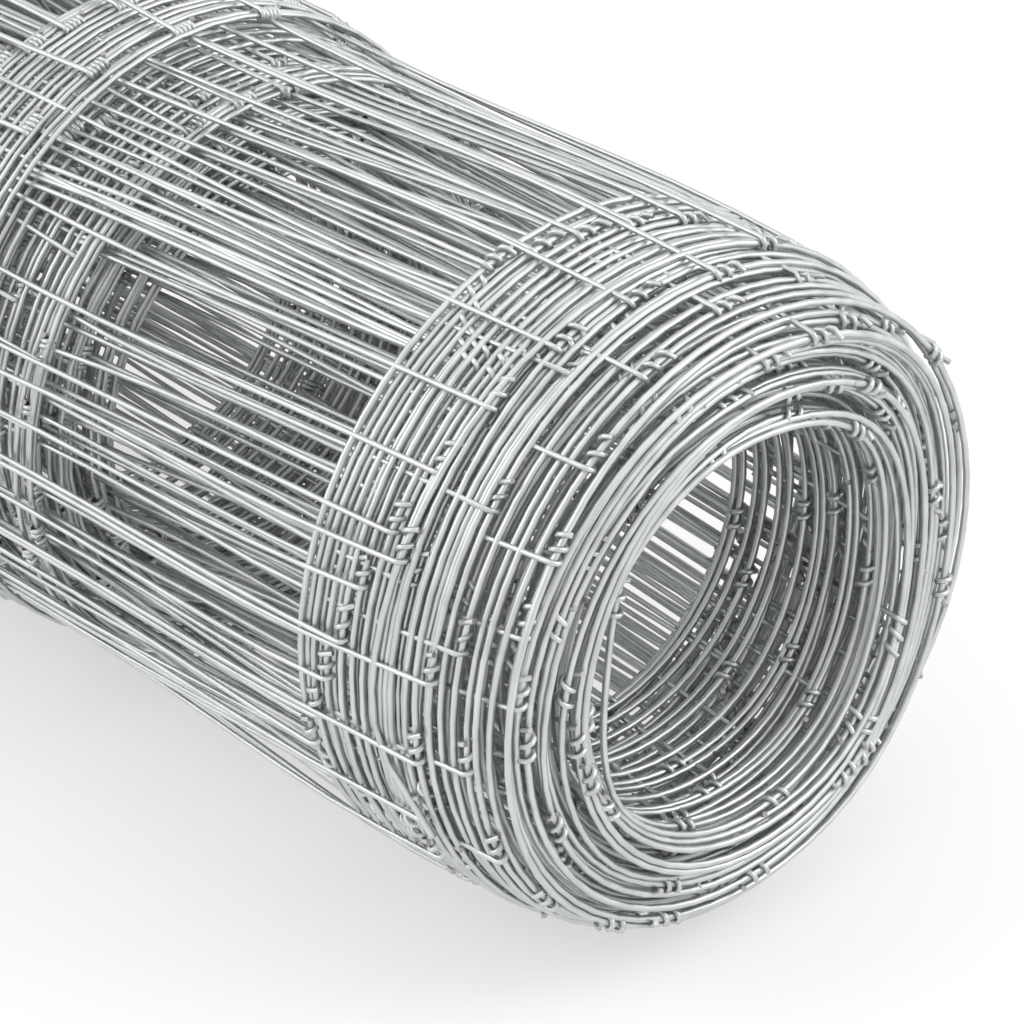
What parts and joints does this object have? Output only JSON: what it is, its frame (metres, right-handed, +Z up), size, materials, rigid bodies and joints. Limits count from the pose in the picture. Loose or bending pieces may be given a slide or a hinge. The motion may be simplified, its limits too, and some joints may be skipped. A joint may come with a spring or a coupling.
{
  "type": "roll of wire fencing",
  "caption": "Roll of knotted galvanised wire fencing lying on its side, with an open bore and turns that have slid out into a rounded mouth at one end.",
  "frame": {"origin": "on the floor under the middle of the roll", "axes": "+X along the roll towards the end whose turns have slid out, +Z up"},
  "size_m": [1.077, 0.209, 0.209],
  "materials": {
    "galvanised_wire": "bright zinc coating, semi-gloss, faint drawing streaks along the wire"
  },
  "bodies": {
    "root": {"fence_roll": "galvanised_wire"}
  },
  "joints": []
}
